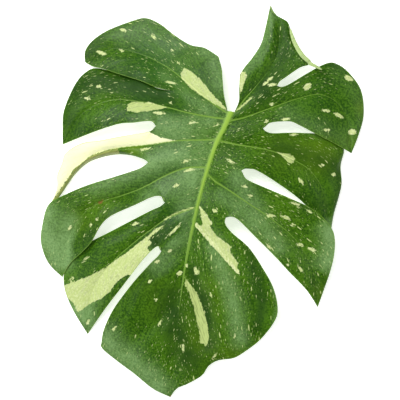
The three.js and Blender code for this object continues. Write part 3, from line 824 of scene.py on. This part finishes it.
def leaf_material(name, dark, light, yellow, blue, painted_sheen_colour, painted_shade_colour, rib_colour, vein_colour,
                  fleck_colour, patch_colours, roughness):
    """Leaf skin: mottled green with painted sheen and painted shade, ragged pale patches and flecks
    along the fine veins, pale ribs.
    """
    skin = Wiring(bpy.data.materials.new(name))
    uv = skin.node("ShaderNodeUVMap", output="UV", uv_map="grain")
    across_grain = skin.node("ShaderNodeSeparateXYZ", {0: uv})
    along_grain = across_grain.beside("Y")
    where = skin.node("ShaderNodeTexCoord", output="Object")

    def fibres(across, along, start, detail):
        """Noise drawn out along the fine veins, with so many grains a millimetre each way."""
        place = skin.vector(across_grain * across, along_grain * along, start)
        return skin.noise(place, 1.0, detail)

    # The green itself: broad shading, a fine cell mottle and faint streaks along the fine veins.
    broad = skin.noise(where, BROAD, 2)
    streak = fibres(0.55, 0.06, 0, 2)
    mottle = skin.noise(where, CELLS, 3)
    green = skin.mix(skin.step(broad * 0.5 + streak * 0.4 + mottle * 1.15, 0.80, 1.26), dark, light)

    # Yellower ground, bluer ground that is a painted sheen, and folds with a paler painted sheen and a
    # deeper green painted shade.
    tint_and_sheen = skin.field("tint_and_sheen") * (0.35 + skin.noise(where, TINT_AND_SHEEN_BREAKS, 3) * 1.3)
    green = skin.mix(skin.step(tint_and_sheen, 0.0, 1.0) * 0.75, green, yellow)
    # The bluer ground is a painted sheen.
    green = skin.mix(skin.step(tint_and_sheen, 0.0, -1.0) * 0.8, green, blue)
    # Painted sheen (paler) and painted shade (deeper green) along the folds beside the veins.
    sheen_and_shade = skin.field("sheen_and_shade") * (0.4 + skin.noise(where, SHEEN_BREAKS, 3) * 1.2)
    sheen_share = skin.ramp(sheen_and_shade, 0.0, 1.1) * (0.02 + mottle * 1.75)
    green = skin.mix(sheen_share, green, painted_sheen_colour)
    green = skin.mix(skin.ramp(sheen_and_shade, 0.0, -1.1) * 0.9, green, painted_shade_colour)

    # Flecks: short dashes along the fine veins, in three sizes, crowded in places and rare in others.
    ragged = skin.noise(where, RAGS, 1)
    crowd = skin.noise(where, CROWDS, 1)
    flecks = 0
    for cell_across, cell_along, share, size, strength in FLECK_SIZES:
        cells = skin.node("ShaderNodeTexVoronoi",
                          {"Vector": skin.vector((across_grain + ragged * 0.7) / cell_across,
                                                 (along_grain + ragged * 0.7) / cell_along, 0),
                           "Scale": 1.0, "Randomness": 1.0}, voronoi_dimensions="2D")
        pick = skin.node("ShaderNodeSeparateColor", {0: cells.beside("Color")})
        reach = size * (pick.beside("Green") * 0.9 + 0.4)
        wanted = share * skin.step(crowd, 0.34, 0.68) * 1.8
        fleck = (1 - skin.step(cells / reach, 0.7, 1.2)) * (1 - skin.step(pick - wanted, -0.02, 0.0))
        flecks = fleck.maths("MAXIMUM", flecks, fleck * strength)
    coloured = skin.mix(flecks, green, fleck_colour)

    # Patches without green, frayed along the fine veins.
    fray = fibres(0.8, 0.10, 3, 3)
    patch = skin.step(skin.field("pale") + (fray - 0.5) * 2.6 + (mottle - 0.5) * 1.8, -0.3, 0.4)
    tone_here = skin.field("tone")
    mealy = fibres(0.9, 0.12, 7, 4)
    pale_green, ivory, olive_in_painted_shade = patch_colours
    ripe = skin.step(tone_here + (mealy - 0.5) * 1.3 + (mottle - 0.5) * 0.8, 0.0, 1.0)
    cream = skin.mix(ripe, pale_green, ivory)
    # Olive: painted shade over a cream and green mix.
    cream = skin.mix(skin.step(tone_here, -0.3, -0.7), cream, olive_in_painted_shade)
    cream = skin.mix(skin.step(mealy, 0.48, 0.66) * skin.step(tone_here, 0.8, 0.0) * 0.45, cream, green)
    coloured = skin.mix(patch, coloured, cream)

    # Ribs, and the thin pale line along the margin.
    rib = skin.field("rib")
    on_vein = 1 - skin.step(rib, -0.25, 0.35)
    coloured = skin.mix(on_vein * 0.85, coloured, skin.mix(patch, vein_colour, fleck_colour))
    coloured = skin.mix(1 - skin.step(rib, -2.2, -0.6), coloured, rib_colour)
    edge = 1 - skin.step(skin.field("margin"), 0.25, 0.8)
    coloured = skin.mix(edge * 0.6, coloured, vein_colour)
    browned = skin.step(skin.field("brown") + (mottle - 0.5) * 0.8, 0.0, 0.5)
    coloured = skin.mix(browned * 0.8, coloured, BROWN)

    # Waxy skin: the fine veins and the cells between them show in the sheen.
    height = fibres(0.9, 0.03, 0, 1) * 0.8 + skin.noise(where, CELL_RELIEF, 1) * 0.25
    bump = skin.node("ShaderNodeBump", {"Strength": 0.5, "Distance": RELIEF, "Height": height})
    rough = roughness + (mottle - 0.5) * 0.14 + patch * 0.04 + skin.ramp(sheen_and_shade, 0.0, -1.1) * 0.2
    skin.surface({"Base Color": coloured, "Roughness": rough, "Normal": bump,
                  "Specular IOR Level": GLOSS})
    return skin.owner


solid.materials.append(leaf_material(
    "leaf_upper_skin", dark=srgb(32, 70, 2), light=srgb(72, 116, 16), yellow=srgb(98, 134, 14),
    blue=srgb(40, 86, 34), painted_sheen_colour=srgb(118, 154, 92), painted_shade_colour=srgb(28, 64, 0),
    rib_colour=srgb(144, 182, 68), vein_colour=srgb(116, 154, 58), fleck_colour=srgb(206, 220, 146),
    patch_colours=(srgb(182, 200, 122), srgb(252, 253, 204), srgb(148, 156, 84)), roughness=0.36))
solid.materials.append(leaf_material(
    "leaf_under_skin", dark=srgb(96, 128, 62), light=srgb(124, 154, 86), yellow=srgb(136, 164, 84),
    blue=srgb(98, 134, 76), painted_sheen_colour=srgb(128, 158, 96), painted_shade_colour=srgb(92, 122, 58),
    rib_colour=srgb(170, 196, 110), vein_colour=srgb(156, 184, 104), fleck_colour=srgb(176, 196, 124),
    patch_colours=(srgb(176, 200, 130), srgb(232, 234, 182), srgb(150, 162, 96)), roughness=0.6))

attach(leaf_blade, "root")
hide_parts("leaf")


# ------------------------------------------------------------
# The fine veins: hair-thin ridges of the blade that leave each side vein at a slant and run out
# to the margin. They grew with it, and they stand out of its paler under face.
# ------------------------------------------------------------

FINE_VEIN_STEP = 12.0
FINE_VEIN_RADIUS = 0.24
FINE_VEIN_SIDES = 5
MARGIN_GAP = 2
MOST_ROWS_APART = 6
THINS_BY = 0.7

vein_points, vein_edges, vein_size = [], [], []
for half in halves.values():
    grid, grain = half["points"], half["grain"]
    upright = np.cross(np.gradient(grid, axis=1), np.gradient(grid, axis=0))
    upright *= np.sign(upright[..., 2:])
    upright /= np.maximum(np.linalg.norm(upright, axis=-1, keepdims=True), 1e-9)
    under = grid - upright * BLADE_THICKNESS
    under[..., 2] -= half["depth"] - BLADE_THICKNESS
    under = under * MM + place
    columns = grid.shape[1] - MARGIN_GAP
    for level in np.arange(math.ceil(grain.min() / FINE_VEIN_STEP), grain.max() / FINE_VEIN_STEP):
        above = grain - level * FINE_VEIN_STEP
        row, last = None, None
        for column in range(1, columns):
            a, b = above[:-1, column], above[1:, column]
            crossings = np.flatnonzero((a <= 0) & (b > 0))
            if row is not None:
                crossings = crossings[np.abs(crossings - row) < MOST_ROWS_APART]
            if len(crossings) == 0:
                if row is not None:
                    break
                continue
            row = crossings[0] if row is None else crossings[np.argmin(np.abs(crossings - row))]
            share = a[row] / (a[row] - b[row])
            vein_points.append(under[row, column] * (1 - share) + under[row + 1, column] * share)
            vein_size.append(1.0 - THINS_BY * column / columns)
            if last is not None:
                vein_edges.append((last, len(vein_points) - 1))
            last = len(vein_points) - 1

vein_lines = bpy.data.meshes.new("fine_vein_lines")
vein_lines.from_pydata([tuple(point) for point in vein_points], vein_edges, [])
put_field(vein_lines, "size", vein_size)
fine_veins = bpy.data.objects.new("fine_veins", vein_lines)
bpy.context.collection.objects.link(fine_veins)

vein_skin = Wiring(bpy.data.materials.new("fine_vein_skin"))
vein_mottle = vein_skin.noise(vein_skin.node("ShaderNodeTexCoord", output="Object"), 90)
vein_green = vein_skin.mix(vein_mottle, srgb(134, 164, 88), srgb(160, 186, 112))
vein_skin.surface({"Base Color": vein_green, "Roughness": 0.55})

# Each line becomes a slender round ridge that thins out towards the margin.
ridges = bpy.data.node_groups.new("ridges_along_lines", "GeometryNodeTree")
ridges.interface.new_socket("Lines", in_out="INPUT", socket_type="NodeSocketGeometry")
ridges.interface.new_socket("Ridges", in_out="OUTPUT", socket_type="NodeSocketGeometry")
inputs = {}
for label, kind in (("Radius", "NodeSocketFloat"), ("Sides", "NodeSocketInt"),
                    ("Skin", "NodeSocketMaterial")):
    socket = ridges.interface.new_socket(label, in_out="INPUT", socket_type=kind)
    inputs[label] = socket.identifier

tubes = Wiring(ridges)
given = tubes.node("NodeGroupInput", output="Lines")
lines = tubes.node("GeometryNodeMeshToCurve", {"Mesh": given}, output="Curve")
ring = tubes.node("GeometryNodeCurvePrimitiveCircle", output="Curve", sockets={
    "Resolution": given.beside("Sides"), "Radius": given.beside("Radius")})
size = tubes.node("GeometryNodeInputNamedAttribute", {"Name": "size"}, output="Attribute",
                  data_type="FLOAT")
swept = tubes.node("GeometryNodeCurveToMesh",
                   {"Curve": lines, "Profile Curve": ring, "Scale": size, "Fill Caps": True})
real = tubes.node("GeometryNodeRealizeInstances", {"Geometry": swept})
skinned = tubes.node("GeometryNodeSetMaterial", {"Geometry": real, "Material": given.beside("Skin")})
tubes.node("NodeGroupOutput", {"Ridges": skinned})

grow = fine_veins.modifiers.new("grow", "NODES")
grow.node_group = ridges
grow[inputs["Radius"]] = FINE_VEIN_RADIUS * MM
grow[inputs["Sides"]] = FINE_VEIN_SIDES
grow[inputs["Skin"]] = vein_skin.owner
grown = fine_veins.evaluated_get(bpy.context.evaluated_depsgraph_get())
plain = bpy.data.meshes.new_from_object(grown)
fine_veins.modifiers.clear()
fine_veins.data = plain
plain.polygons.foreach_set("use_smooth", [True] * len(plain.polygons))
bpy.data.meshes.remove(vein_lines)

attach(fine_veins, "root")
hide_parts("leaf")


# ------------------------------------------------------------
# The table it lies on, the soft light of a bright room, and the camera straight above.
# ------------------------------------------------------------

FLOOR_SIZE = 3.0
FLOOR_GREY = 0.9
FLOOR_GLOW = 0.62
bpy.ops.mesh.primitive_plane_add(size=FLOOR_SIZE, location=(0, 0, 0))
floor = bpy.context.object
floor.name = "floor"
floor_paint = Wiring(bpy.data.materials.new("floor_paint"))
floor_paint.surface({"Base Color": (FLOOR_GREY, FLOOR_GREY, FLOOR_GREY, 1), "Roughness": 0.9,
                     "Emission Color": (1, 1, 1, 1), "Emission Strength": FLOOR_GLOW})
floor.data.materials.append(floor_paint.owner)


LAMP_SIZE = 0.9


def soft_light(name, place, power):
    """A square of soft white light that faces the leaf."""
    lamp = bpy.data.lights.new(name, "AREA")
    lamp.size = LAMP_SIZE
    lamp.energy = power
    lamp_object = bpy.data.objects.new(name, lamp)
    bpy.context.collection.objects.link(lamp_object)
    lamp_object.location = place
    toward = -lamp_object.location
    lamp_object.rotation_euler = toward.to_track_quat("-Z", "Y").to_euler()


soft_light("window", (-0.72, 0.62, 1.5), 26)
soft_light("room", (-0.85, -0.85, 1.4), 8)
soft_light("wall", (1.2, 0.2, 1.3), 5)

# The room's light comes from its sides more than from overhead, where the camera is.
SIDE_LIGHT = 0.5
OVERHEAD_LOSS = 0.44
room = Wiring(bpy.data.worlds.new("pale_room"))
direction = room.node("ShaderNodeTexCoord", output="Generated")
height = room.node("ShaderNodeSeparateXYZ", {0: direction}, output="Z")
strength = SIDE_LIGHT - room.step(height, 0.66, 0.94) * OVERHEAD_LOSS
glow = room.node("ShaderNodeBackground", {"Strength": strength})
room.node("ShaderNodeOutputWorld", {"Surface": glow})
bpy.context.scene.world = room.owner
bpy.context.scene.view_settings.view_transform = "Standard"

VIEW_WIDTH = 0.360
VIEW_CENTRE = (0.0039, -0.0028)
VIEW_TURN = 11.93
CAMERA_HEIGHT = 1.5
LEAF_MIDDLE_HEIGHT = 0.008
SENSOR = 36.0
camera = bpy.data.objects.new("camera", bpy.data.cameras.new("camera"))
camera.data.sensor_width = SENSOR
camera.data.lens = SENSOR * (CAMERA_HEIGHT - LEAF_MIDDLE_HEIGHT) / VIEW_WIDTH
camera.location = (*VIEW_CENTRE, CAMERA_HEIGHT)
camera.rotation_euler = (0, 0, math.radians(VIEW_TURN))
camera.data.clip_end = 10
bpy.context.collection.objects.link(camera)
bpy.context.scene.camera = camera
